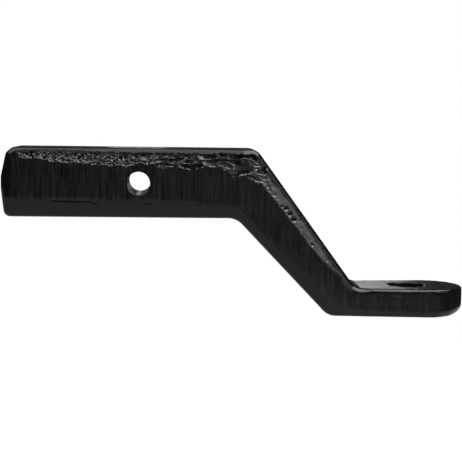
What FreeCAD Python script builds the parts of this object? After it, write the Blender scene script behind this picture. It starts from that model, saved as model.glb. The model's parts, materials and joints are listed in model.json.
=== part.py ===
"""Solid forged ball mount: a square receiver shank, a sloping web and a ball platform in one piece.

The frame has its origin at the middle of the pin hole. +X runs along the shank towards the ball, +Y along
the pin hole and +Z up. Lengths are in millimetres and angles in degrees.

The forging is made as its die makes it. A side profile and a plan outline give the bar. Above and below
the vertical band where the flash was trimmed off, the flanks lean inward by the draft angle, and the band's
two edges follow the bends of the web. One radius then rounds every long edge, and the two holes are
drilled last.
"""

import FreeCAD
import Part
import math
import os

from FreeCAD import Vector

# Receiver shank
SHANK_WIDTH = 50.8
SHANK_HEIGHT = 50.8
PIN_TO_SHANK_END = 100.0
PIN_HOLE_DIAMETER = 16.7
PIN_HOLE_CHAMFER = 0.5

# Shank end, which leans back above and below the trimmed parting line
END_LAND_HEIGHT = 8.0
END_UPPER_LEAN = 12.0
END_LOWER_LEAN = 6.0
END_TOP_FACET = 4.0

# Web: slopes of its upper and lower faces, and the radii of its four bends
WEB_TOP_SLOPE = 53.8
WEB_UNDER_SLOPE = 46.2
CROWN_RADIUS = 9.5
SEAT_RADIUS = 11.0
BELLY_RADIUS = 14.0
HEEL_RADIUS = 13.0

# Ball platform
DROP = 101.6
PLATFORM_THICKNESS = 21.2
PLATFORM_WIDTH = 57.15
PIN_TO_BALL = 202.0
SEAT_TO_BALL = 41.4
HEEL_TO_BALL = 61.2
BALL_TO_NOSE = 42.2
BALL_HOLE_DIAMETER = 27.0
BALL_HOLE_RIM_RADIUS = 1.2
SEAT_TO_FLARE = 4.0
FLARE_RADIUS = 60.0

# Draft of the flanks and the trimmed band between them
DRAFT_ANGLE = 7.0
SHANK_UPPER_FLANK = 10.0
SHANK_LOWER_FLANK = 14.5
PLATFORM_UPPER_FLANK = 5.0
PLATFORM_LOWER_FLANK = 7.6
CROWN_TO_BAND = 8.5
SEAT_TO_BAND = 5.0
BELLY_TO_BAND = 1.5
HEEL_TO_BAND = 4.3
BAND_CROWN_RADIUS = 12.0
BAND_SEAT_RADIUS = 16.0
BAND_BELLY_RADIUS = 30.0
BAND_HEEL_RADIUS = 12.0

# Radius of the long edges
EDGE_RADIUS = 5.0

# Heights and places that follow from the sizes above
shank_top = SHANK_HEIGHT / 2
shank_bottom = -SHANK_HEIGHT / 2
half_width = SHANK_WIDTH / 2
platform_top = shank_top - DROP
platform_bottom = platform_top - PLATFORM_THICKNESS
nose_radius = PLATFORM_WIDTH / 2
nose_x = PIN_TO_BALL + BALL_TO_NOSE
nose_centre_x = nose_x - nose_radius
seat_x = PIN_TO_BALL - SEAT_TO_BALL
heel_x = PIN_TO_BALL - HEEL_TO_BALL
crown_x = seat_x - DROP / math.tan(math.radians(WEB_TOP_SLOPE))
belly_x = heel_x - (shank_bottom - platform_bottom) / math.tan(math.radians(WEB_UNDER_SLOPE))
draft = math.tan(math.radians(DRAFT_ANGLE))

# The platform's flat top starts where the seat's arc ends, and its sides flare a little after that
seat_arc_end_x = seat_x + SEAT_RADIUS * math.tan(math.radians(WEB_TOP_SLOPE / 2))
flare_x = seat_arc_end_x + SEAT_TO_FLARE
relief_joint_x = seat_arc_end_x + SEAT_TO_FLARE / 2

# Room that the cutting shapes have past the forging
PAST = 40.0


def on_side(x, z):
    return Vector(x, 0, z)


def rounded_outline(corners):
    """A closed wire in the side view through corners (x, z, radius), each rounded by a tangent arc."""
    starts = []
    ends = []
    arcs = []
    for i, (x, z, radius) in enumerate(corners):
        corner = on_side(x, z)
        if radius == 0:
            starts.append(corner)
            ends.append(corner)
            continue
        back = (on_side(*corners[i - 1][:2]) - corner).normalize()
        onward = (on_side(*corners[(i + 1) % len(corners)][:2]) - corner).normalize()
        half_angle = back.getAngle(onward) / 2
        reach = radius / math.tan(half_angle)
        middle = corner + (back + onward).normalize() * (radius / math.sin(half_angle) - radius)
        starts.append(corner + back * reach)
        ends.append(corner + onward * reach)
        arcs.append(Part.Arc(starts[-1], middle, ends[-1]).toShape())
    lines = [
        Part.LineSegment(end, starts[(i + 1) % len(corners)]).toShape()
        for i, end in enumerate(ends)
    ]
    return Part.Wire(Part.__sortEdges__(arcs + lines))


def side_profile():
    """The forging seen from the side. The nose end runs on, because the plan outline cuts it."""
    land_top = END_LAND_HEIGHT / 2
    upper_lean = math.tan(math.radians(END_UPPER_LEAN))
    lower_lean = math.tan(math.radians(END_LOWER_LEAN))
    end_top_x = -PIN_TO_SHANK_END + (shank_top - land_top) * upper_lean
    end_bottom_x = -PIN_TO_SHANK_END - (shank_bottom + land_top) * lower_lean
    return rounded_outline([
        (-PIN_TO_SHANK_END, -land_top, 0),
        (-PIN_TO_SHANK_END, land_top, 0),
        (end_top_x - END_TOP_FACET * upper_lean, shank_top - END_TOP_FACET, 0),
        (end_top_x + END_TOP_FACET, shank_top, 0),
        (crown_x, shank_top, CROWN_RADIUS),
        (seat_x, platform_top, SEAT_RADIUS),
        (nose_x + PAST, platform_top, 0),
        (nose_x + PAST, platform_bottom, 0),
        (heel_x, platform_bottom, HEEL_RADIUS),
        (belly_x, shank_bottom, BELLY_RADIUS),
        (end_bottom_x, shank_bottom, 0),
    ])


def plan_outline(start_x, z, inset=0.0):
    """The trimmed outline seen from above, from start_x to the round nose, drawn at height z."""
    # An arc turns each straight side into the tangent of the nose circle, outward or inward
    bend_radius = math.copysign(FLARE_RADIUS, nose_radius - half_width)
    bend_y = half_width + bend_radius
    back = nose_centre_x - flare_x
    turn = math.asin((bend_radius + nose_radius) / math.hypot(back, bend_y)) - math.atan2(bend_y, back)

    def on_bend(angle):
        reach = bend_radius + inset
        return Vector(flare_x + reach * math.sin(angle), bend_y - reach * math.cos(angle), z)

    def on_nose(angle):
        reach = nose_radius - inset
        return Vector(nose_centre_x - reach * math.sin(angle), reach * math.cos(angle), z)

    def mirrored(point):
        return Vector(point.x, -point.y, point.z)

    start = Vector(start_x, half_width - inset, z)
    left = [
        Part.LineSegment(start, on_bend(0)),
        Part.Arc(on_bend(0), on_bend(turn / 2), on_bend(turn)),
        Part.LineSegment(on_bend(turn), on_nose(turn)),
    ]
    right = [
        Part.LineSegment(mirrored(on_nose(turn)), mirrored(on_bend(turn))),
        Part.Arc(mirrored(on_bend(turn)), mirrored(on_bend(turn / 2)), mirrored(on_bend(0))),
        Part.LineSegment(mirrored(on_bend(0)), mirrored(start)),
    ]
    nose = Part.Arc(on_nose(turn), on_nose(-math.pi / 2), mirrored(on_nose(turn)))
    butt = Part.LineSegment(mirrored(start), start)
    return Part.Wire([curve.toShape() for curve in left + [nose] + right + [butt]])


def trimmed_bar():
    """The side profile, cut to the plan outline by the trimming die."""
    face = Part.Face(side_profile())
    face.translate(Vector(0, -PLATFORM_WIDTH, 0))
    bar = face.extrude(Vector(0, 2 * PLATFORM_WIDTH, 0))
    below = platform_bottom - PAST
    trim = Part.Face(plan_outline(-PIN_TO_SHANK_END - PAST, below))
    return bar.common(trim.extrude(Vector(0, 0, shank_top + PAST - below)))


def band_top():
    """Outline of what lies above the trimmed band, from the shank end to the platform."""
    shank_z = shank_top - SHANK_UPPER_FLANK
    platform_z = platform_top - PLATFORM_UPPER_FLANK
    return rounded_outline([
        (-PIN_TO_SHANK_END - PAST, shank_z, 0),
        (crown_x - CROWN_TO_BAND, shank_z, BAND_CROWN_RADIUS),
        (seat_x - SEAT_TO_BAND, platform_z, BAND_SEAT_RADIUS),
        (relief_joint_x, platform_z, 0),
        (relief_joint_x, shank_top + PAST, 0),
        (-PIN_TO_SHANK_END - PAST, shank_top + PAST, 0),
    ])


def band_bottom():
    """Outline of what lies below the trimmed band, from the shank end to the platform."""
    shank_z = shank_bottom + SHANK_LOWER_FLANK
    platform_z = platform_bottom + PLATFORM_LOWER_FLANK
    return rounded_outline([
        (-PIN_TO_SHANK_END - PAST, shank_z, 0),
        (belly_x + BELLY_TO_BAND, shank_z, BAND_BELLY_RADIUS),
        (heel_x + HEEL_TO_BAND, platform_z, BAND_HEEL_RADIUS),
        (relief_joint_x, platform_z, 0),
        (relief_joint_x, platform_bottom - PAST, 0),
        (-PIN_TO_SHANK_END - PAST, platform_bottom - PAST, 0),
    ])


def flank_relief(outline, side, up):
    """What the draft takes off one side of the shank and web: the outline, pushed along the lean."""
    deepest = SHANK_WIDTH / 4
    outside = PAST * draft
    face = Part.Face(outline)
    face.translate(Vector(0, side * (half_width + outside), -up * outside / draft))
    return face.extrude(Vector(0, -side * (outside + deepest), up * (outside + deepest) / draft))


def platform_relief(z, up):
    """What the draft takes off round the platform and nose, from the band's edge at height z."""
    height = PLATFORM_THICKNESS
    core = Part.makeLoft([
        plan_outline(relief_joint_x, z),
        plan_outline(relief_joint_x, z + up * height, height * draft),
    ], True, True)
    block = Part.makeBox(
        nose_x + PAST - relief_joint_x, 2 * PLATFORM_WIDTH, height,
        Vector(relief_joint_x, -PLATFORM_WIDTH, min(z, z + up * height)),
    )
    return block.cut(core)


def drafted_forging():
    """The trimmed bar with its flanks leaning inward above and below the band."""
    forging = trimmed_bar()
    for side in (1, -1):
        forging = forging.cut(flank_relief(band_top(), side, 1))
        forging = forging.cut(flank_relief(band_bottom(), side, -1))
    forging = forging.cut(platform_relief(platform_top - PLATFORM_UPPER_FLANK, 1))
    forging = forging.cut(platform_relief(platform_bottom + PLATFORM_LOWER_FLANK, -1))
    return forging.removeSplitter().Solids[0]


def rounded_edges(forging):
    """The edges between the flanks and the other faces, and those across the shank end's corners."""
    steepest_flank = math.sin(math.radians(DRAFT_ANGLE)) * 1.01
    found = []
    for edge in forging.Edges:
        faces = forging.ancestorsOfType(edge, Part.Face)
        middle = edge.valueAt((edge.FirstParameter + edge.LastParameter) / 2)
        normals = [face.normalAt(*face.Surface.parameter(middle)) for face in faces]
        upright = [abs(normal.z) <= steepest_flank for normal in normals]
        level = [abs(normal.y) < 1e-6 for normal in normals]
        if middle.x > relief_joint_x:
            wanted = upright[0] != upright[1]
        elif all(level):
            wanted = middle.x < -PIN_TO_SHANK_END / 2 and abs(middle.z) > END_LAND_HEIGHT
        else:
            wanted = level[0] != level[1]
        if wanted:
            found.append(edge)
    return found


def rounded_forging():
    """The drafted forging with one radius along its long edges, no more than the flanks have room for."""
    forging = drafted_forging()
    room = min(SHANK_UPPER_FLANK, SHANK_LOWER_FLANK, PLATFORM_UPPER_FLANK, PLATFORM_LOWER_FLANK)
    limit = min(room, CROWN_RADIUS, HEEL_RADIUS)
    return forging.makeFillet(min(EDGE_RADIUS, limit), rounded_edges(forging))


def pin_hole():
    """The receiver pin's hole through the shank, with a small chamfer at both rims."""
    radius = PIN_HOLE_DIAMETER / 2
    wide = radius + PIN_HOLE_CHAMFER
    hole = Part.makeCylinder(radius, SHANK_WIDTH, Vector(0, -half_width, 0), Vector(0, 1, 0))
    for side in (1, -1):
        rim = Vector(0, side * half_width, 0)
        inward = Vector(0, -side, 0)
        hole = hole.fuse(Part.makeCone(wide, radius, PIN_HOLE_CHAMFER, rim, inward))
    return hole


def ball_hole():
    """The ball shank's hole through the platform, with rounded rims."""
    radius = BALL_HOLE_DIAMETER / 2
    rim = BALL_HOLE_RIM_RADIUS
    hole = Part.makeCylinder(radius, PLATFORM_THICKNESS, Vector(PIN_TO_BALL, 0, platform_bottom))
    ring = Part.makeTorus(radius + rim, rim, Vector(PIN_TO_BALL, 0, 0))
    collar = Part.makeCylinder(radius + rim, rim, Vector(PIN_TO_BALL, 0, 0)).cut(ring)
    for z, turn in ((platform_top, 180), (platform_bottom, 0)):
        flared = collar.copy()
        flared.rotate(Vector(PIN_TO_BALL, 0, 0), Vector(1, 0, 0), turn)
        flared.translate(Vector(0, 0, z))
        hole = hole.fuse(flared)
    return hole


def ball_mount():
    return rounded_forging().cut(pin_hole()).cut(ball_hole())


os.makedirs("parts", exist_ok=True)
ball_mount().exportStep("parts/ball_mount_forging.step")
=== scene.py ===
"""Looks of a solid forged ball mount on a plain studio stage.

The skin has scaled flanks, a trimmed flash band, two drilled holes and a gloss black coat. Lengths are in
metres, places are in the row's own frame, and a name that ends in _MM holds millimetres.
"""

import bmesh
import bpy
import json
import math
import numpy as np
from bpy.props import FloatProperty, FloatVectorProperty, IntProperty, PointerProperty
from mathutils import Matrix, Vector, noise
from mathutils.bvhtree import BVHTree


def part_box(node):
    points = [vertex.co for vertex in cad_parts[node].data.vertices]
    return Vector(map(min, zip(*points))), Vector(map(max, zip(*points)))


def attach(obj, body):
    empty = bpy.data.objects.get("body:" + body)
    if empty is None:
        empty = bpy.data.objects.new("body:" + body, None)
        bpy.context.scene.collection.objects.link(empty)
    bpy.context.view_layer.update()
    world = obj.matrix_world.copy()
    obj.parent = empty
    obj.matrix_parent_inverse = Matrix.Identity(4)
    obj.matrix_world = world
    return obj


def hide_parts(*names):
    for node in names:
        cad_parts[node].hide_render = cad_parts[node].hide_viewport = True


bl_info = {
    "name": "Forged Ball Mount",
    "version": (1, 0, 0),
    "blender": (4, 5, 0),
    "location": "View3D > Sidebar > Ball Mount",
    "description": "Builds the skin, coat and studio stage of a forged ball mount",
    "category": "Object",
}

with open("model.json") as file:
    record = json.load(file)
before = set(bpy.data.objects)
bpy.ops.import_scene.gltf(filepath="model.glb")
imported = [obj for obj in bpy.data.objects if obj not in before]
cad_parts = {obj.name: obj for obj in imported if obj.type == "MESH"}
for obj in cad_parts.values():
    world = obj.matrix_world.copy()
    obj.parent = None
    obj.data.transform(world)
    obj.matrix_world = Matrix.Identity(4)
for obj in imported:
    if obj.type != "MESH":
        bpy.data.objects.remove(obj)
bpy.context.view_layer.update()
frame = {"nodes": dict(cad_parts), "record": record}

NODE = "ball_mount_forging"
BODY = "root"
PIECE = "forged_body"
MM = 0.001

mounts = {mount["name"]: mount for mount in frame["record"]["mounts"]}
node_low, node_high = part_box(NODE)

# Side view of the forging in millimetres: the bends of its upper and lower outline
SHANK_END_MM = node_low.x / MM
NOSE_MM = node_high.x / MM
SHANK_TOP_MM = node_high.z / MM
PLATFORM_BOTTOM_MM = node_low.z / MM
SHANK_BOTTOM_MM = -SHANK_TOP_MM
PLATFORM_TOP_MM = mounts["ball_seat"]["pos_m"][2] / MM
CROWN_X_MM = 86.2
SEAT_X_MM = 160.6
BELLY_X_MM = 71.8
HEEL_X_MM = 140.8
UPPER_OUTLINE_MM = (
    (SHANK_END_MM, SHANK_TOP_MM),
    (CROWN_X_MM, SHANK_TOP_MM),
    (SEAT_X_MM, PLATFORM_TOP_MM),
    (NOSE_MM, PLATFORM_TOP_MM),
)
LOWER_OUTLINE_MM = (
    (SHANK_END_MM, SHANK_BOTTOM_MM),
    (BELLY_X_MM, SHANK_BOTTOM_MM),
    (HEEL_X_MM, PLATFORM_BOTTOM_MM),
    (NOSE_MM, PLATFORM_BOTTOM_MM),
)

# Borders of the torn scale on the upper flank: station along the upper outline, depth below it
SCALE_UPPER_EDGE_MM = (
    (8, 3.6), (18, 2.1), (44, 1.9), (72, 3.0), (92, 3.9), (163, 3.8), (189, 3.7), (207, 3.7), (224, 2.0),
    (269, 2.2), (291, 3.4), (318, 3.4),
)
SCALE_LOWER_EDGE_MM = (
    (8, 5.6), (18, 8.3), (26, 7.5), (39, 10.2), (59, 11.7), (83, 12.5), (94, 13.1), (102, 10.5),
    (112, 12.3), (120.5, 15.6), (123, 12.9), (136, 15.8), (145, 13.4), (161, 13.8), (170, 20.3),
    (200, 17.6), (208, 11.4), (222, 10.8), (244, 9.8), (264, 9.4), (280, 7.8), (294, 4.3), (306, 3.4),
)

# Stations where the scale turns from lumps to long plates, and then to the finer grain of the web
PLATES_START_MM = 95.0
PLATES_FULL_MM = 130.0
GRAIN_START_MM = 196.0
GRAIN_FULL_MM = 212.0
WEB_SCALE_MM = 204.0

# Lower border of the trimmed band: x, height above the lower outline
BAND_LOWER_EDGE_MM = (
    (-100, 14.4), (8, 14.4), (36, 12.6), (64, 10.2), (81, 9.2), (100, 9.0), (134, 9.0), (147, 6.0),
    (156, 3.0), (247, 3.0),
)

# Single marks of the forging, each an x, z and radius, or the x and z of a short line's two ends
DISH_MM = (76.9, 13.4, 7.6)
PITS_MM = (
    (105.1, -15.8, 1.0), (108.0, -17.4, 1.3), (110.9, -21.4, 1.5), (113.8, -25.5, 1.5), (127.8, -43.9, 0.9),
    (91.6, 11.6, 1.5), (96.0, -4.2, 0.7),
)
RINGS_MM = ((99.2, -7.6, 1.5), (93.9, -1.6, 1.3))
BEADS_MM = ((-6.1, 12.3, 1.0), (-63.1, -19.9, 0.8), (1.6, 13.4, 0.7))
LAPS_MM = (
    ((-62.4, -12.7), (-37.6, -13.4)), ((-36.1, -13.0), (-30.6, -14.7)), ((3.7, -13.9), (9.6, -14.3)),
)
DRIPS_MM = (((177.6, -81.5), (181.9, -81.5)), ((188.7, -82.0), (196.4, -82.8)))

# Depths of the smaller marks in metres, and the half widths of the lines
RING_DEPTH = 0.0004
BEAD_HEIGHT = 0.0004
LAP_DEPTH = 0.00012
DRIP_DEPTH = 0.0003
STREAK_DEPTH = 0.00006
LAP_WIDTH_MM = 0.55
DRIP_WIDTH_MM = 1.1
DRIP_CORE_MM = 0.6

# The marks lie on the flanks, at least this far from the middle plane
FLANK_MM = 17.0

# Lower flanks: the draft, their height at the platform in the solid and in the skin, and their creases
DRAFT_ANGLE = math.radians(7)
SOLID_PLATFORM_FLANK_MM = 7.6
SKIN_PLATFORM_FLANK_MM = 3.0
CREASE_SOFT_MM = 0.5
WEB_CREASE_SOFTER_MM = 3.5
BAND_EDGE_WANDER_MM = 0.9

# By how much the skin's edge radii on the platform differ from the solid's
UPPER_EDGE_TIGHTER_MM = 1.5
NOSE_EDGE_TIGHTER_MM = 1.2
LOWER_EDGE_TIGHTER_MM = 2.0
NOSE_ROUND_MM = 3.0

# Gloss of the coat, with what each zone adds to its roughness, the share of painted sheen on the trim
# marks, and its heights in metres
COAT_ROUGHNESS = (0.11, 0.18)
BORE_ROUGHNESS = (0.14, 0.24)
SCALE_ROUGHER = 0.05
MARKS_ROUGHER = 0.06
SEAT_ROUGHER = 0.02
SCALE_GRAIN = 0.5
SEAT_GRAIN = 0.35
MARKS_SHEEN_TINT = 0.38
PEEL_HEIGHT = 0.00003
GRAIN_HEIGHT = 0.0003
TRIM_MARK_HEIGHT = 0.00013

# The floor's half sizes and middle, its glow to the camera, and the reach over which it turns white
FLOOR_HALF_SIZE = (1.85, 2.15)
FLOOR_MIDDLE = (-1.15, 1.15)
NEAR_GLOW = 0.85
FLOOR_WHITENS = (0.45, 1.0)

# Lamps of the stage: name, place, what it faces, its size, the setting of its power and the share it takes
LAMPS = (
    ("overhead_softbox", (-0.5, -0.35, 1.0), (-0.5, -0.35, 0.0), (1.4, 1.45), "overhead_light", 1.0),
    ("platform_softbox", (0.75, -0.35, 1.0), (0.75, -0.35, 0.0), (1.1, 1.45), "platform_light", 1.0),
    ("side_softbox", (1.43, -1.15, 0.66), (0.12, -0.03, -0.03), (1.5, 1.3), "side_light", 1.0),
    ("rear_card", (0.41, 1.5, 0.42), (0.41, 0.0, 0.42), (0.12, 0.66), "rear_light", 1.0),
    ("bore_card", (-0.05, 1.5, 0.21), (-0.05, 0.0, 0.21), (0.11, 0.2), "rear_light", 0.18),
    ("front_card", (0.465, -2.2, -0.1), (0.465, 0.0, -0.1), (0.57, 0.8), "front_light", 1.0),
    ("low_card", (-0.05, 1.5, 0.0), (-0.05, 0.0, 0.0), (0.7, 0.13), "rear_light", 0.16),
)

# The camera stands where the photograph was taken from
CAMERA_PLACE = Vector((0.0287, -0.9289, 0.0518))
CAMERA_YAW = math.radians(2.472)
CAMERA_PITCH = math.radians(5.431)
CAMERA_ROLL = math.radians(0.713)
CAMERA_LENS_MM = 96.84
SENSOR_MM = 36.0


class ForgedBodySettings(bpy.types.PropertyGroup):
    """Sizes of the forged skin and colours of its coat"""

    mesh_step: FloatProperty(
        name="Mesh Step", description="Spacing of the skin's mesh", default=0.00112, min=0.0008,
        unit="LENGTH", precision=5)
    scale_depth: FloatProperty(
        name="Scale Depth", description="Depth of the torn scale at its upper border", default=0.0012,
        unit="LENGTH", precision=5)
    scale_relief: FloatProperty(
        name="Scale Relief", description="Height of the lumps in the torn scale", default=0.0013,
        unit="LENGTH", precision=5)
    dish_depth: FloatProperty(
        name="Dish Depth", description="Depth of the smooth dish at the crown", default=0.0009,
        unit="LENGTH", precision=5)
    pit_depth: FloatProperty(
        name="Pit Depth", description="Depth of the pits in the web's scale", default=0.0011, unit="LENGTH",
        precision=5)
    seat_relief: FloatProperty(
        name="Seat Relief", description="Height of the grain on the platform's top", default=0.00016,
        unit="LENGTH", precision=5)
    edge_round: FloatProperty(
        name="Pin Hole Edge", description="Width of the broken edge of the pin hole", default=0.0006,
        unit="LENGTH", precision=5)
    rim_round: FloatProperty(
        name="Ball Hole Rim", description="Radius of the ball hole's rims", default=0.0013, unit="LENGTH",
        precision=5)
    hole_facets: IntProperty(
        name="Hole Facets", description="Flat sides of a hole's round wall", default=96, min=24)
    coat_color: FloatVectorProperty(
        name="Coat", description="Colour of the gloss coat", default=(0.003, 0.003, 0.0032),
        subtype="COLOR", min=0, max=1)
    # Painted sheen: a lighter grey mixed in where the torn scale's coat is dull and on the band's trim
    # marks, standing in for the overhead light that rougher coat catches
    dull_spot_sheen_color: FloatVectorProperty(
        name="Scale Tint", description="Colour of the thin coat on the torn scale",
        default=(0.03, 0.03, 0.0305), subtype="COLOR", min=0, max=1)


class StageSettings(bpy.types.PropertyGroup):
    """Sizes and light of the studio stage"""

    floor_height: FloatProperty(
        name="Floor Height", description="Height of the floor", default=-0.26, unit="LENGTH")
    floor_color: FloatVectorProperty(
        name="Floor", description="Colour of the floor", default=(0.3, 0.3, 0.3), subtype="COLOR",
        min=0, max=1)
    overhead_light: FloatProperty(
        name="Overhead Light", description="Power of the softbox above", default=10.2, unit="POWER")
    platform_light: FloatProperty(
        name="Platform Light", description="Power of the softbox above the platform", default=20.0,
        unit="POWER")
    side_light: FloatProperty(
        name="Side Light", description="Power of the softbox at the right", default=4.8, unit="POWER")
    rear_light: FloatProperty(
        name="Rear Light", description="Power of the white card behind", default=0.27, unit="POWER")
    front_light: FloatProperty(
        name="Front Light", description="Power of the dim card in front", default=0.43, unit="POWER")
    ambient: FloatProperty(
        name="Ambient", description="Strength of the even light from all round", default=0.45, min=0)
    horizon: FloatProperty(
        name="Horizon", description="Strength that the gloss coat reflects from the dark room",
        default=0.035, min=0)


def side_view_place(points, outline_mm):
    """Station along an outline and distance from it, in millimetres, for points in metres."""
    flat = points[:, (0, 2)] / MM
    station = np.zeros(len(flat))
    depth = np.full(len(flat), np.inf)
    passed = 0.0
    for start, end in zip(outline_mm, outline_mm[1:]):
        start = np.array(start)
        run = np.array(end) - start
        length = np.linalg.norm(run)
        along = np.clip((flat - start) @ run / length**2, 0, 1)
        distance = np.linalg.norm(flat - start - along[:, None] * run, axis=1)
        nearer = distance < depth
        depth[nearer] = distance[nearer]
        station[nearer] = passed + along[nearer] * length
        passed += length
    return station, depth


def smooth_step(low, high, value):
    """Share from 0 to 1 of the way between two limits, with a soft start and end."""
    share = np.clip((value - low) / (high - low), 0, 1)
    return share * share * (3 - 2 * share)


def border(table_mm, station):
    """Depth or height of a border at each station, from its list of places."""
    return np.interp(station, [row[0] for row in table_mm], [row[1] for row in table_mm])


def noise_field(points, size_mm, octaves=1, seed=0.0):
    """Smooth noise from -1 to 1 at points in metres. size_mm is the grain along x, y and z."""
    grain = np.array(size_mm) * MM
    scaled = points / grain + seed
    if octaves == 1:
        return np.array([noise.noise(Vector(place)) for place in scaled])
    return np.array([noise.fractal(Vector(place), 1.0, 2.0, octaves) for place in scaled])


def zones(points):
    """Masks from 0 to 1 of the forging's zones at points in metres, and the places they follow from."""
    station, depth = side_view_place(points, UPPER_OUTLINE_MM)
    _, height = side_view_place(points, LOWER_OUTLINE_MM)
    wander = noise_field(points, (4.0, 9.0, 4.0), 3, seed=3.7)
    ragged = noise_field(points, (1.6, 9.0, 1.6), 1, seed=8.1)
    side = smooth_step(FLANK_MM, FLANK_MM + 3.5, np.abs(points[:, 1]) / MM)
    below_upper = depth - border(SCALE_UPPER_EDGE_MM, station) - 0.7 * wander
    uneven = (wander + 0.5 * ragged) * (1 - 0.7 * smooth_step(240.0, 285.0, station))
    above_lower = border(SCALE_LOWER_EDGE_MM, station) - depth + uneven
    on_length = smooth_step(9.0, 17.0, station) * (1 - smooth_step(284.0, 302.0, station))
    scale = smooth_step(-0.3, 1.0, below_upper) * smooth_step(-0.3, 0.9, above_lower)
    scale *= side * on_length
    x, z = points[:, 0] / MM, points[:, 2] / MM
    above_band_edge = height - border(BAND_LOWER_EDGE_MM, x)
    off_end = smooth_step(SHANK_END_MM + 4.0, SHANK_END_MM + 12.0, x)
    band = smooth_step(-0.8, 0.4, above_band_edge) * (1 - smooth_step(-0.9, 0.2, above_lower))
    band *= side * off_end
    on_platform = smooth_step(SEAT_X_MM - 2.0, SEAT_X_MM + 10.0, x)
    seat = smooth_step(PLATFORM_TOP_MM - 1.6, PLATFORM_TOP_MM - 0.2, z) * on_platform
    scale_width = border(SCALE_LOWER_EDGE_MM, station) - border(SCALE_UPPER_EDGE_MM, station) + 0.1
    # The pits' mask only lowers the coat's specular level: painted shade in the pits
    pit = near_marks(points, PITS_MM, 0.85) * side * (points[:, 1] < 0)
    return {
        "station": station,
        "depth": depth,
        "below_upper": below_upper,
        "rise": np.clip(above_lower / scale_width, 0, 1),
        "scale": scale,
        "band": band,
        "seat": seat,
        "pit": smooth_step(0.2, 0.6, pit),
    }


def near_marks(points, marks_mm, reach=1.0):
    """Share from 0 to 1 of the nearest round mark (x, z, radius) at each point."""
    flat = points[:, (0, 2)] / MM
    share = np.zeros(len(flat))
    for x, z, radius in marks_mm:
        distance = np.hypot(flat[:, 0] - x, flat[:, 1] - z)
        share = np.maximum(share, np.exp(-(distance / (radius * reach)) ** 2))
    return share


def near_lines(points, lines_mm, width_mm):
    """Share from 0 to 1 of the nearest short line in the side view at each point."""
    flat = points[:, (0, 2)] / MM
    share = np.zeros(len(flat))
    for start, end in lines_mm:
        start = np.array(start)
        run = np.array(end) - start
        along = np.clip((flat - start) @ run / (run @ run), 0, 1)
        distance = np.linalg.norm(flat - start - along[:, None] * run, axis=1)
        share = np.maximum(share, np.exp(-(distance / width_mm) ** 2))
    return share


def flank_inset(edge, height, soft):
    """Inset in millimetres of a drafted flank below its edge, with a soft turn at the edge."""
    return math.tan(DRAFT_ANGLE) * soft * np.logaddexp(0, (edge - height) / soft)


def flank_shift(points, height):
    """Outward shift in millimetres that brings the lower flank's draft to the band's lower edge."""
    x, y = points[:, 0] / MM, np.abs(points[:, 1]) / MM
    soft = CREASE_SOFT_MM + WEB_CREASE_SOFTER_MM * smooth_step(60.0, 92.0, x)
    ragged = noise_field(points * (1, 0, 0), (9.0, 9.0, 9.0), 3, seed=7.7)
    edge = border(BAND_LOWER_EDGE_MM, x) + BAND_EDGE_WANDER_MM * ragged
    share = smooth_step(2.5, 9.0, height) * (1 - smooth_step(17.0, 20.0, height))
    share *= smooth_step(SHANK_END_MM + 6.0, SHANK_END_MM + 12.0, x)
    on_shank = share * (SHANK_TOP_MM - flank_inset(edge, height, soft) - y) * (y > 18.0)
    solid_inset = flank_inset(SOLID_PLATFORM_FLANK_MM, height, CREASE_SOFT_MM)
    lowered = solid_inset - flank_inset(SKIN_PLATFORM_FLANK_MM, height, CREASE_SOFT_MM)
    on_platform = smooth_step(1.5, 5.5, height) * (1 - smooth_step(12.0, 15.0, height)) * lowered
    to_platform = smooth_step(146.0, 160.0, x)
    return on_shank * (1 - to_platform) + on_platform * to_platform


def turned_edge(outward, tighter, way):
    """Shift in millimetres of an edge, upper (way 1) or lower (way -1), whose radius gets smaller."""
    turn = np.clip(way * outward[:, 2], 0, 1)
    level = np.hypot(outward[:, 0], outward[:, 1])
    reach = tighter * (1 - np.sqrt(1 - turn**2)) / np.maximum(level, 0.02)
    reach[level < 0.02] = 0
    return np.column_stack((outward[:, 0] * reach, outward[:, 1] * reach, way * tighter * (1 - turn)))


def edge_shift(points, outward):
    """Shift in millimetres that makes the platform's edge radii tight, and wide under the nose."""
    x, z = points[:, 0] / MM, points[:, 2] / MM
    over = smooth_step(PLATFORM_TOP_MM - 12.0, PLATFORM_TOP_MM - 5.0, z) * smooth_step(164.0, 176.0, x)
    under = smooth_step(PLATFORM_BOTTOM_MM + 14.0, PLATFORM_BOTTOM_MM + 8.0, z)
    upper = over * (UPPER_EDGE_TIGHTER_MM + NOSE_EDGE_TIGHTER_MM * smooth_step(200.0, 225.0, x))
    lower = LOWER_EDGE_TIGHTER_MM * smooth_step(152.0, 172.0, x) * (1 - smooth_step(218.0, 228.0, x))
    lower -= NOSE_ROUND_MM * smooth_step(228.0, 240.0, x)
    return turned_edge(outward, upper, 1) + turned_edge(outward, lower * under, -1)


def scale_relief(points, station):
    """Relief of the torn scale from 0 to 1: chunky lumps, then long plates, then the web's finer grain."""
    sheared = points.copy()
    sheared[:, 0] += 0.8 * points[:, 2]
    lumps = 1 - np.abs(noise_field(sheared, (2.6, 8.0, 1.7), 2, seed=1.3)) * 1.7
    folds = 1 - np.abs(noise_field(points, (11.0, 9.0, 3.6), 1, seed=5.9)) * 2.6
    plates = 1.6 * smooth_step(-0.2, 0.8, folds) - 0.45 + 0.15 * (lumps - 0.5)
    grain = 0.6 + 0.35 * noise_field(points, (1.7, 8.0, 1.7), 3, seed=2.2)
    to_plates = smooth_step(PLATES_START_MM, PLATES_FULL_MM, station)
    to_grain = smooth_step(GRAIN_START_MM, GRAIN_FULL_MM, station)
    near_end = lumps * (1 - to_plates) + plates * to_plates
    return np.clip(near_end * (1 - to_grain) + grain * to_grain, -0.45, 1.2)


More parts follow.
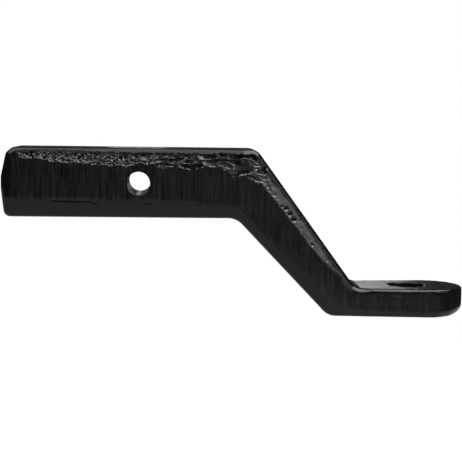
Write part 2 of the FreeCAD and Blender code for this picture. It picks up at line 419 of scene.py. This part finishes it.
def scale_sink(points, zone, settings):
    """Depth in metres of the torn scale and its dish."""
    station = zone["station"]
    relief = scale_relief(points, station)
    dish = near_marks(points, (DISH_MM,), 0.9) * (points[:, 1] < 0)
    dish = smooth_step(0.25, 0.5, dish)
    web = smooth_step(WEB_SCALE_MM, WEB_SCALE_MM + 10.0, station)
    lumps = settings.scale_relief * (1 - relief) * (1 - dish) * (1 - 0.82 * web)
    fall = settings.scale_depth * (0.1 + zone["rise"] * (1 - dish) * (1 + 0.25 * web))
    return zone["scale"] * (fall + lumps + settings.dish_depth * dish)


def mark_sink(points, settings):
    """Depth in metres of the near side's single marks. Beads stand out, so theirs is below zero."""
    rings = near_marks(points, RINGS_MM) * near_marks(points, RINGS_MM, 0.6) ** 0.5
    drips = near_lines(points, DRIPS_MM, DRIP_WIDTH_MM) - near_lines(points, DRIPS_MM, DRIP_CORE_MM)
    depth = settings.pit_depth * near_marks(points, PITS_MM) - BEAD_HEIGHT * near_marks(points, BEADS_MM)
    depth += LAP_DEPTH * near_lines(points, LAPS_MM, LAP_WIDTH_MM) + DRIP_DEPTH * np.clip(drips, 0, 1)
    return depth + RING_DEPTH * rings


def sink(points, settings):
    """Depth in metres by which the forging's marks lie below the clean form at points in metres."""
    zone = zones(points)
    depth = np.zeros(len(points))
    torn = np.nonzero(zone["scale"] > 0.001)[0]
    depth[torn] = scale_sink(points[torn], {key: values[torn] for key, values in zone.items()}, settings)
    marks = np.nonzero(points[:, 1] < -FLANK_MM * MM)[0]
    depth[marks] += mark_sink(points[marks], settings)
    streaks = noise_field(points, (26.0, 2.2, 2.2), 2, seed=6.4)
    edge = smooth_step(0.0, 1.5, -zone["below_upper"]) * smooth_step(0.3, 1.2, zone["depth"])
    edge *= zone["station"] < 205.0
    depth += STREAK_DEPTH * (1 + streaks) * edge
    seat = np.nonzero(zone["seat"] > 0.001)[0]
    grain = noise_field(points[seat], (2.2, 2.2, 2.2), 3, seed=4.4)
    depth[seat] += settings.seat_relief * zone["seat"][seat] * (0.6 + 0.6 * grain)
    return np.maximum(depth, 0)


def fill_hole(body, centre, axis, reach):
    """Takes a hole's wall out of the mesh, out to the reach from its axis, and closes the two openings."""
    def off_axis(vert):
        offset = vert.co - centre
        return (offset - axis * offset.dot(axis)).length
    wall = [face for face in body.faces if all(off_axis(vert) < reach for vert in face.verts)]
    bmesh.ops.delete(body, geom=wall, context="FACES")
    rims = [edge for edge in body.edges if edge.is_boundary]
    bmesh.ops.holes_fill(body, edges=rims, sides=0)


def hole_radius(name):
    """Radius in metres of a hole, from its mount."""
    return mounts[name]["dims"]["r_mm"] * MM


def mount_axis(name):
    """Centre and direction of a hole, from its mount."""
    mount = mounts[name]
    return Vector(mount["pos_m"]), Vector(mount["axis"]).normalized()


def clean_form():
    """The forging's mesh joined into one closed skin, with no holes."""
    body = bmesh.new()
    body.from_mesh(frame["nodes"][NODE].data)
    bmesh.ops.remove_doubles(body, verts=body.verts, dist=1e-6)
    for name in ("pin_hole", "ball_hole"):
        centre, axis = mount_axis(name)
        fill_hole(body, centre, axis, hole_radius(name) + 1.6 * MM)
    bmesh.ops.triangulate(body, faces=body.faces)
    return body


def even_skin(form, step):
    """An even mesh of quads that lies on the clean form, finer where the scale and the marks are."""
    source = bpy.data.meshes.new("skin_source")
    form.to_mesh(source)
    holder = bpy.data.objects.new("skin_source", source)
    bpy.context.scene.collection.objects.link(holder)
    remesh = holder.modifiers.new("even_mesh", "REMESH")
    remesh.mode = "VOXEL"
    remesh.voxel_size = step
    depsgraph = bpy.context.evaluated_depsgraph_get()
    even = bpy.data.meshes.new_from_object(holder.evaluated_get(depsgraph))
    bpy.data.objects.remove(holder)
    bpy.data.meshes.remove(source)
    skin = bmesh.new()
    skin.from_mesh(even)
    bpy.data.meshes.remove(even)
    points = np.array([face.calc_center_median() for face in skin.faces])
    zone = zones(points)
    wanted = zone["scale"] > 0.02
    on_near_side = points[:, 1] < -FLANK_MM * MM
    wanted |= on_near_side & (near_marks(points, BEADS_MM + PITS_MM, 2.0) > 0.3)
    wanted |= on_near_side & (near_lines(points, LAPS_MM + DRIPS_MM, 1.6) > 0.3)
    skin.faces.ensure_lookup_table()
    skin.edges.index_update()
    edges = {edge.index: edge for index in np.nonzero(wanted)[0] for edge in skin.faces[index].edges}
    in_order = [edges[index] for index in sorted(edges)]
    bmesh.ops.subdivide_edges(skin, edges=in_order, cuts=1, use_grid_fill=True)
    return skin


def settle_on(skin, form):
    """Moves the skin's vertices onto the clean form and returns the form's outward direction at each."""
    tree = BVHTree.FromBMesh(form)
    for vert in skin.verts:
        vert.co = tree.find_nearest(vert.co)[0]
    skin.normal_update()
    return np.array([vert.normal for vert in skin.verts])


def lathe(profile, centre, axis, facets, name):
    """A closed turned solid about an axis. The profile is (radius, place along the axis)."""
    turned = bmesh.new()
    verts = [turned.verts.new((radius, 0, place)) for radius, place in profile]
    edges = [turned.edges.new(pair) for pair in zip(verts, verts[1:])]
    bmesh.ops.spin(
        turned, geom=verts + edges, cent=(0, 0, 0), axis=(0, 0, 1), angle=2 * math.pi, steps=facets,
        use_merge=True)
    bmesh.ops.remove_doubles(turned, verts=turned.verts, dist=1e-7)
    bmesh.ops.recalc_face_normals(turned, faces=turned.faces)
    turn = Vector((0, 0, 1)).rotation_difference(axis).to_matrix().to_4x4()
    bmesh.ops.transform(turned, matrix=Matrix.Translation(centre) @ turn, verts=turned.verts)
    mesh = bpy.data.meshes.new(name)
    turned.to_mesh(mesh)
    turned.free()
    cutter = bpy.data.objects.new(name, mesh)
    bpy.context.scene.collection.objects.link(cutter)
    return cutter


def drill_profile(radius, length, edge, rounded):
    """Half section of a drill's cut with a broken or rounded edge at both faces."""
    past = 4 * MM
    rings = 6 if rounded else 1
    half = length / 2
    corner = []
    for ring in range(rings + 1):
        share = ring / rings
        if rounded:
            turn = share * math.pi / 2
            corner.append((radius + edge * (1 - math.cos(turn)), half - edge * (1 - math.sin(turn))))
        else:
            corner.append((radius + edge * share, half - edge * (1 - share)))
    flare = edge * 0.6
    mouth = radius + edge + flare
    upper = corner + [(mouth, half + flare), (mouth, half + past), (0, half + past)]
    lower = [(reach, -place) for reach, place in reversed(upper)]
    return lower + upper


def drill(body, settings):
    """Cuts the pin hole and the ball hole out of the skin."""
    pin_centre, pin_axis = mount_axis("pin_hole")
    ball_centre, ball_axis = mount_axis("ball_hole")
    width = 2 * SHANK_TOP_MM * MM
    thickness = (PLATFORM_TOP_MM - PLATFORM_BOTTOM_MM) * MM
    pin = drill_profile(hole_radius("pin_hole"), width, settings.edge_round, False)
    ball = drill_profile(hole_radius("ball_hole"), thickness, settings.rim_round, True)
    cutters = [
        lathe(pin, pin_centre, pin_axis, settings.hole_facets, "pin_drill"),
        lathe(ball, ball_centre, ball_axis, settings.hole_facets, "ball_drill"),
    ]
    for cutter in cutters:
        cut = body.modifiers.new(cutter.name, "BOOLEAN")
        cut.operation = "DIFFERENCE"
        cut.solver = "EXACT"
        cut.object = cutter
    depsgraph = bpy.context.evaluated_depsgraph_get()
    drilled = bpy.data.meshes.new_from_object(body.evaluated_get(depsgraph))
    body.modifiers.clear()
    old = body.data
    body.data = drilled
    bpy.data.meshes.remove(old)
    for cutter in cutters:
        bpy.data.objects.remove(cutter)


def bore_faces(mesh):
    """Numbers of the faces that lie on a hole's wall."""
    centres = np.array([polygon.center for polygon in mesh.polygons])
    found = np.zeros(len(centres), bool)
    for name in ("pin_hole", "ball_hole"):
        centre, axis = (np.array(value) for value in mount_axis(name))
        offset = centres - centre
        radial = offset - np.outer(offset @ axis, axis)
        found |= np.linalg.norm(radial, axis=1) < hole_radius(name) + 0.02 * MM
    return np.nonzero(found)[0]


def store_mask(mesh, name, values):
    """Stores one value for each vertex as an attribute that a material can read."""
    mesh.attributes.new(name, "FLOAT", "POINT").data.foreach_set("value", values.astype(np.float32))


def node(tree, kind, inputs=None, **settings):
    """Adds a shader node, sets its properties and its plain input values."""
    made = tree.nodes.new(kind)
    for key, value in settings.items():
        setattr(made, key, value)
    for key, value in (inputs or {}).items():
        made.inputs[key].default_value = value
    return made


def ramp(tree, source, low, high, out_low=0.0, out_high=1.0):
    """Maps a value between two limits onto two others."""
    limits = {"From Min": low, "From Max": high, "To Min": out_low, "To Max": out_high}
    made = node(tree, "ShaderNodeMapRange", limits, interpolation_type="SMOOTHSTEP")
    tree.links.new(source, made.inputs["Value"])
    return made.outputs["Result"]


def combine(tree, operation, first, second):
    """One Math node on two sources, each a socket or a number."""
    made = node(tree, "ShaderNodeMath", operation=operation)
    for socket, source in zip(made.inputs, (first, second)):
        if isinstance(source, (int, float)):
            socket.default_value = source
        else:
            tree.links.new(source, socket)
    return made.outputs["Value"]


def stretched_noise(tree, place, grain_mm, detail=2.0, roughness=0.5):
    """Noise whose grain has its own length along each axis."""
    mapping = node(tree, "ShaderNodeMapping", {"Scale": [1 / (size * MM) for size in grain_mm]})
    made = node(tree, "ShaderNodeTexNoise", {"Scale": 1.0, "Detail": detail, "Roughness": roughness})
    tree.links.new(place, mapping.inputs["Vector"])
    tree.links.new(mapping.outputs["Vector"], made.inputs["Vector"])
    return made.outputs["Fac"]


def new_group(name, inputs, outputs):
    """A shader node group with named inputs and outputs, and its two end nodes."""
    group = bpy.data.node_groups.new(name, "ShaderNodeTree")
    for label, kind, default in inputs:
        socket = group.interface.new_socket(label, in_out="INPUT", socket_type=kind)
        if default is not None:
            socket.default_value = default
    for label, kind in outputs:
        group.interface.new_socket(label, in_out="OUTPUT", socket_type=kind)
    return group, group.nodes.new("NodeGroupInput"), group.nodes.new("NodeGroupOutput")


def coat_ripple_group():
    """Orange peel and fine grain of a sprayed coat: a height in metres and a mask of its dull spots."""
    group, given, result = new_group(
        "coat_ripple",
        [
            ("Vector", "NodeSocketVector", None),
            ("Peel", "NodeSocketFloat", 1.0),
            ("Grain", "NodeSocketFloat", 0.0),
        ],
        [("Height", "NodeSocketFloat"), ("Dull", "NodeSocketFloat")])
    place = given.outputs["Vector"]
    peel = stretched_noise(group, place, (2.6, 2.6, 2.6), 1.0)
    grain = stretched_noise(group, place, (0.9, 0.9, 0.9), 3.0, 0.6)
    dull = stretched_noise(group, place, (5.5, 5.5, 5.5), 4.0, 0.6)
    peel_height = combine(group, "MULTIPLY", peel, PEEL_HEIGHT)
    peel_height = combine(group, "MULTIPLY", peel_height, given.outputs["Peel"])
    grain_height = combine(group, "MULTIPLY", grain, GRAIN_HEIGHT)
    grain_height = combine(group, "MULTIPLY", grain_height, given.outputs["Grain"])
    group.links.new(combine(group, "ADD", peel_height, grain_height), result.inputs["Height"])
    group.links.new(ramp(group, dull, 0.4, 0.65), result.inputs["Dull"])
    return group


def trim_marks_group():
    """Upright marks of the trimming die on the band, as a height in metres and a mask of the marks."""
    group, given, result = new_group(
        "trim_marks",
        [("Vector", "NodeSocketVector", None), ("Amount", "NodeSocketFloat", 1.0)],
        [("Height", "NodeSocketFloat"), ("Marks", "NodeSocketFloat")])
    place = given.outputs["Vector"]
    broad = stretched_noise(group, place, (3.2, 3.2, 60.0), 2.0, 0.6)
    fine = stretched_noise(group, place, (0.8, 0.8, 28.0), 2.0, 0.7)
    broad = combine(group, "MULTIPLY", broad, 0.55)
    both = combine(group, "ADD", broad, combine(group, "MULTIPLY", fine, 0.45))
    marks = combine(group, "MULTIPLY", ramp(group, both, 0.38, 0.66), given.outputs["Amount"])
    group.links.new(combine(group, "MULTIPLY", marks, TRIM_MARK_HEIGHT), result.inputs["Height"])
    group.links.new(marks, result.inputs["Marks"])
    return group


def placed_group(tree, group, place, values):
    """Places a group in a material with its own values, each a socket or a number."""
    made = node(tree, "ShaderNodeGroup", node_tree=group)
    tree.links.new(place, made.inputs["Vector"])
    for key, value in values.items():
        if isinstance(value, (int, float)):
            made.inputs[key].default_value = value
        else:
            tree.links.new(value, made.inputs[key])
    return made


def attribute(tree, name):
    """The value of one of the skin's stored masks."""
    return node(tree, "ShaderNodeAttribute", attribute_name=name).outputs["Fac"]


def new_material(name):
    """A material with one Principled shader, its node tree and that shader."""
    material = bpy.data.materials.new(name)
    material.use_nodes = True
    tree = material.node_tree
    tree.nodes.clear()
    shader = tree.nodes.new("ShaderNodeBsdfPrincipled")
    output = tree.nodes.new("ShaderNodeOutputMaterial")
    tree.links.new(shader.outputs["BSDF"], output.inputs["Surface"])
    return material, tree, shader


def coat_material(settings, ripple, trim):
    """Gloss black coat: thin and grainy on the torn scale, marked on the trimmed band, glossy elsewhere.
    The scale's dull spots and the band's marks are painted lighter, a painted sheen, and the pits and
    hollows get a lower specular level, a painted shade.
    """
    material, tree, shader = new_material("gloss_black_coat")
    place = tree.nodes.new("ShaderNodeTexCoord").outputs["Object"]
    scale = attribute(tree, "scale_zone")
    band = attribute(tree, "trimmed_band")
    seat = attribute(tree, "seat_zone")
    grain = combine(tree, "MULTIPLY", scale, SCALE_GRAIN)
    grain = combine(tree, "ADD", grain, combine(tree, "MULTIPLY", seat, SEAT_GRAIN))
    peel = placed_group(tree, ripple, place, {"Peel": 1.0, "Grain": grain})
    marks = placed_group(tree, trim, place, {"Amount": band})
    # Painted sheen: the trim marks and the scale's dull spots are mixed towards a lighter grey, standing in
    # for the overhead light that rougher coat catches
    sheen_mix = node(tree, "ShaderNodeMix", data_type="RGBA")
    sheen_mix.inputs[6].default_value = (*settings.coat_color, 1)
    sheen_mix.inputs[7].default_value = (*settings.dull_spot_sheen_color, 1)
    dull_scale = combine(tree, "MULTIPLY", scale, peel.outputs["Dull"])
    marked = marks.outputs["Marks"]
    sheen_share = combine(tree, "MAXIMUM", dull_scale, combine(tree, "MULTIPLY", marked, MARKS_SHEEN_TINT))
    tree.links.new(sheen_share, sheen_mix.inputs[0])
    tree.links.new(sheen_mix.outputs[2], shader.inputs["Base Color"])
    rough = ramp(tree, peel.outputs["Dull"], 0.0, 1.0, *COAT_ROUGHNESS)
    for mask, rougher in ((scale, SCALE_ROUGHER), (marked, MARKS_ROUGHER), (seat, SEAT_ROUGHER)):
        rough = combine(tree, "ADD", rough, combine(tree, "MULTIPLY", mask, rougher))
    tree.links.new(rough, shader.inputs["Roughness"])
    # The torn scale gets twice the specular level. The pits and the scale's deep hollows lose it, a painted
    # shade that darkens them.
    gloss = combine(tree, "ADD", 0.5, combine(tree, "MULTIPLY", scale, 0.5))
    gloss = combine(tree, "MULTIPLY", gloss, combine(tree, "SUBTRACT", 1.0, attribute(tree, "pit_and_hollow_shade")))
    tree.links.new(gloss, shader.inputs["Specular IOR Level"])
    bump = node(tree, "ShaderNodeBump", {"Strength": 1.0, "Distance": 1.0})
    height = combine(tree, "ADD", peel.outputs["Height"], marks.outputs["Height"])
    tree.links.new(height, bump.inputs["Height"])
    tree.links.new(bump.outputs["Normal"], shader.inputs["Normal"])
    return material


def bore_material(settings, ripple):
    """The same coat where it ran thin on the drilled walls."""
    material, tree, shader = new_material("thin_black_coat")
    place = tree.nodes.new("ShaderNodeTexCoord").outputs["Object"]
    shader.inputs["Base Color"].default_value = (*settings.coat_color, 1)
    peel = placed_group(tree, ripple, place, {"Peel": 1.5, "Grain": 0.3})
    rough = ramp(tree, peel.outputs["Dull"], 0.0, 1.0, *BORE_ROUGHNESS)
    tree.links.new(rough, shader.inputs["Roughness"])
    bump = node(tree, "ShaderNodeBump", {"Strength": 1.0, "Distance": 1.0})
    tree.links.new(peel.outputs["Height"], bump.inputs["Height"])
    tree.links.new(bump.outputs["Normal"], shader.inputs["Normal"])
    return material


def forged_points(points, outward, settings):
    """Places of the skin's points, moved from the clean form to the forged one."""
    marked = outward * sink(points, settings)[:, None]
    _, height = side_view_place(points, LOWER_OUTLINE_MM)
    tightened = edge_shift(points, outward) * MM
    level = outward[:, :2] / np.maximum(np.hypot(outward[:, 0], outward[:, 1]), 0.2)[:, None]
    moved = points.copy()
    moved[:, :2] += level * flank_shift(points, height)[:, None] * MM
    return moved + tightened - marked


def store_zones(mesh):
    """Stores the masks that the coat reads. The pits and the deep hollows of the lumpy scale make one mask
    that lowers the coat's specular level there, a painted shade.
    """
    places = np.array([vert.co for vert in mesh.vertices])
    zone = zones(places)
    hollow_shade = zone["scale"] * (1 - smooth_step(0.05, 0.35, scale_relief(places, zone["station"])))
    pit = np.maximum(zone["pit"], 0.8 * hollow_shade * (zone["station"] < WEB_SCALE_MM))
    store_mask(mesh, "scale_zone", zone["scale"])
    store_mask(mesh, "trimmed_band", zone["band"])
    store_mask(mesh, "seat_zone", zone["seat"])
    store_mask(mesh, "pit_and_hollow_shade", pit)


def coat(mesh, settings):
    """Gives the body its coat, and the drilled walls their thinner one."""
    ripple = coat_ripple_group()
    mesh.materials.clear()
    mesh.materials.append(coat_material(settings, ripple, trim_marks_group()))
    mesh.materials.append(bore_material(settings, ripple))
    for polygon in mesh.polygons:
        polygon.material_index = 0
    for index in bore_faces(mesh):
        mesh.polygons[index].material_index = 1
    mesh.shade_smooth()
    mesh.set_sharp_from_angle(angle=math.radians(38))


class BALLMOUNT_OT_forged_body(bpy.types.Operator):
    """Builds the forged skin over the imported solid, drills it and coats it"""

    bl_idname = "ballmount.forged_body"
    bl_label = "Forged Body"

    def execute(self, context):
        settings = context.scene.ballmount_body
        form = clean_form()
        if any(not edge.is_manifold for edge in form.edges):
            raise RuntimeError("the clean form isn't closed")
        skin = even_skin(form, settings.mesh_step)
        outward = settle_on(skin, form)
        form.free()
        points = np.array([vert.co for vert in skin.verts])
        for vert, point in zip(skin.verts, forged_points(points, outward, settings)):
            vert.co = point
        mesh = bpy.data.meshes.new(PIECE)
        skin.to_mesh(mesh)
        skin.free()
        body = bpy.data.objects.new(PIECE, mesh)
        context.scene.collection.objects.link(body)
        drill(body, settings)
        body.data.name = PIECE
        store_zones(body.data)
        coat(body.data, settings)
        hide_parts(NODE)
        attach(body, BODY)
        return {"FINISHED"}


def add_camera():
    """A camera at the photograph's place, turned right by the yaw, down by the pitch and then rolled."""
    forward = Vector((
        math.sin(CAMERA_YAW) * math.cos(CAMERA_PITCH),
        math.cos(CAMERA_YAW) * math.cos(CAMERA_PITCH),
        -math.sin(CAMERA_PITCH),
    ))
    level = Vector((math.cos(CAMERA_YAW), -math.sin(CAMERA_YAW), 0))
    upright = level.cross(forward)
    right = math.cos(CAMERA_ROLL) * level + math.sin(CAMERA_ROLL) * upright
    up = math.cos(CAMERA_ROLL) * upright - math.sin(CAMERA_ROLL) * level
    camera = bpy.data.cameras.new("photo_camera")
    camera.lens = CAMERA_LENS_MM
    camera.sensor_width = SENSOR_MM
    camera.clip_start = 0.01
    holder = bpy.data.objects.new("photo_camera", camera)
    turn = Matrix((right, up, -forward)).transposed().to_4x4()
    holder.matrix_world = Matrix.Translation(CAMERA_PLACE) @ turn
    bpy.context.scene.collection.objects.link(holder)
    bpy.context.scene.camera = holder


def add_lamp(name, place, target, size, power):
    """A soft rectangular lamp that faces its target and doesn't show in the picture."""
    lamp = bpy.data.lights.new(name, "AREA")
    lamp.shape = "RECTANGLE"
    lamp.size, lamp.size_y = size
    lamp.energy = power
    holder = bpy.data.objects.new(name, lamp)
    turn = (Vector(target) - Vector(place)).to_track_quat("-Z", "Y").to_matrix().to_4x4()
    holder.matrix_world = Matrix.Translation(place) @ turn
    holder.visible_camera = False
    bpy.context.scene.collection.objects.link(holder)


def floor_material(settings):
    """Pale floor that shows white to the camera, keeps the object's shadow and can't be seen from below."""
    material = bpy.data.materials.new("pale_floor")
    material.use_nodes = True
    tree = material.node_tree
    tree.nodes.clear()
    output = tree.nodes.new("ShaderNodeOutputMaterial")
    pale = node(tree, "ShaderNodeBsdfDiffuse", {"Color": (*settings.floor_color, 1)})
    place = tree.nodes.new("ShaderNodeTexCoord").outputs["Object"]
    away = node(tree, "ShaderNodeVectorMath", operation="LENGTH")
    tree.links.new(place, away.inputs[0])
    path = tree.nodes.new("ShaderNodeLightPath")
    backfacing = tree.nodes.new("ShaderNodeNewGeometry").outputs["Backfacing"]
    near_glow = node(tree, "ShaderNodeEmission", {"Strength": NEAR_GLOW})
    dark = node(tree, "ShaderNodeEmission", {"Strength": 0.0})
    seen_glow = tree.nodes.new("ShaderNodeMixShader")
    tree.links.new(path.outputs["Is Camera Ray"], seen_glow.inputs["Fac"])
    tree.links.new(dark.outputs["Emission"], seen_glow.inputs[1])
    tree.links.new(near_glow.outputs["Emission"], seen_glow.inputs[2])
    near = tree.nodes.new("ShaderNodeAddShader")
    tree.links.new(pale.outputs["BSDF"], near.inputs[0])
    tree.links.new(seen_glow.outputs["Shader"], near.inputs[1])
    far_white = node(tree, "ShaderNodeEmission", {"Strength": 1.0})
    far = ramp(tree, away.outputs["Value"], *FLOOR_WHITENS)
    far_share = combine(tree, "MULTIPLY", far, path.outputs["Is Camera Ray"])
    seen = tree.nodes.new("ShaderNodeMixShader")
    tree.links.new(far_share, seen.inputs["Fac"])
    tree.links.new(near.outputs["Shader"], seen.inputs[1])
    tree.links.new(far_white.outputs["Emission"], seen.inputs[2])
    from_below = tree.nodes.new("ShaderNodeMixShader")
    clear = tree.nodes.new("ShaderNodeBsdfTransparent")
    tree.links.new(backfacing, from_below.inputs["Fac"])
    tree.links.new(seen.outputs["Shader"], from_below.inputs[1])
    tree.links.new(clear.outputs["BSDF"], from_below.inputs[2])
    tree.links.new(from_below.outputs["Shader"], output.inputs["Surface"])
    return material


def light_world(settings):
    """An even soft room: white to the camera, dark near the horizon in the coat's reflections."""
    world = bpy.data.worlds.new("studio_room")
    world.use_nodes = True
    tree = world.node_tree
    tree.nodes.clear()
    output = tree.nodes.new("ShaderNodeOutputWorld")
    path = tree.nodes.new("ShaderNodeLightPath")
    room = node(tree, "ShaderNodeBackground", {"Strength": settings.ambient})
    reflected = node(tree, "ShaderNodeBackground", {"Strength": settings.horizon})
    white = node(tree, "ShaderNodeBackground", {"Strength": 1.0})
    for shader in (room, reflected, white):
        shader.inputs["Color"].default_value = (1, 1, 1, 1)
    glossy = tree.nodes.new("ShaderNodeMixShader")
    seen = tree.nodes.new("ShaderNodeMixShader")
    tree.links.new(path.outputs["Is Glossy Ray"], glossy.inputs["Fac"])
    tree.links.new(room.outputs["Background"], glossy.inputs[1])
    tree.links.new(reflected.outputs["Background"], glossy.inputs[2])
    tree.links.new(path.outputs["Is Camera Ray"], seen.inputs["Fac"])
    tree.links.new(glossy.outputs["Shader"], seen.inputs[1])
    tree.links.new(white.outputs["Background"], seen.inputs[2])
    tree.links.new(seen.outputs["Shader"], output.inputs["Surface"])
    bpy.context.scene.world = world


class BALLMOUNT_OT_stage(bpy.types.Operator):
    """Builds the pale floor, the soft studio light and the photograph's camera"""

    bl_idname = "ballmount.stage"
    bl_label = "Studio Stage"

    def execute(self, context):
        settings = context.scene.ballmount_stage
        sheet = bmesh.new()
        bmesh.ops.create_grid(sheet, x_segments=1, y_segments=1, size=1)
        bmesh.ops.scale(sheet, vec=Vector((*FLOOR_HALF_SIZE, 1)), verts=sheet.verts)
        bmesh.ops.translate(sheet, vec=(*FLOOR_MIDDLE, settings.floor_height), verts=sheet.verts)
        mesh = bpy.data.meshes.new("pale_floor")
        sheet.to_mesh(mesh)
        sheet.free()
        mesh.materials.append(floor_material(settings))
        floor = bpy.data.objects.new("pale_floor", mesh)
        context.scene.collection.objects.link(floor)
        for name, place, target, size, power, share in LAMPS:
            add_lamp(name, place, target, size, getattr(settings, power) * share)
        light_world(settings)
        add_camera()
        context.scene.view_settings.view_transform = "Standard"
        return {"FINISHED"}


class BALLMOUNT_PT_panel(bpy.types.Panel):
    """Lists the steps and their settings"""

    bl_idname = "BALLMOUNT_PT_panel"
    bl_label = "Ball Mount"
    bl_space_type = "VIEW_3D"
    bl_region_type = "UI"
    bl_category = "Ball Mount"

    def draw(self, context):
        for operator, settings in (
            (BALLMOUNT_OT_forged_body, context.scene.ballmount_body),
            (BALLMOUNT_OT_stage, context.scene.ballmount_stage),
        ):
            box = self.layout.box()
            for name in settings.__annotations__:
                box.prop(settings, name)
            box.operator(operator.bl_idname)


CLASSES = (
    ForgedBodySettings,
    StageSettings,
    BALLMOUNT_OT_forged_body,
    BALLMOUNT_OT_stage,
    BALLMOUNT_PT_panel,
)


def register():
    for cls in CLASSES:
        bpy.utils.register_class(cls)
    bpy.types.Scene.ballmount_body = PointerProperty(type=ForgedBodySettings)
    bpy.types.Scene.ballmount_stage = PointerProperty(type=StageSettings)


def unregister():
    del bpy.types.Scene.ballmount_stage
    del bpy.types.Scene.ballmount_body
    for cls in reversed(CLASSES):
        bpy.utils.unregister_class(cls)


def main():
    register()
    bpy.ops.ballmount.forged_body()
    bpy.ops.ballmount.stage()


if __name__ == "__main__":
    main()
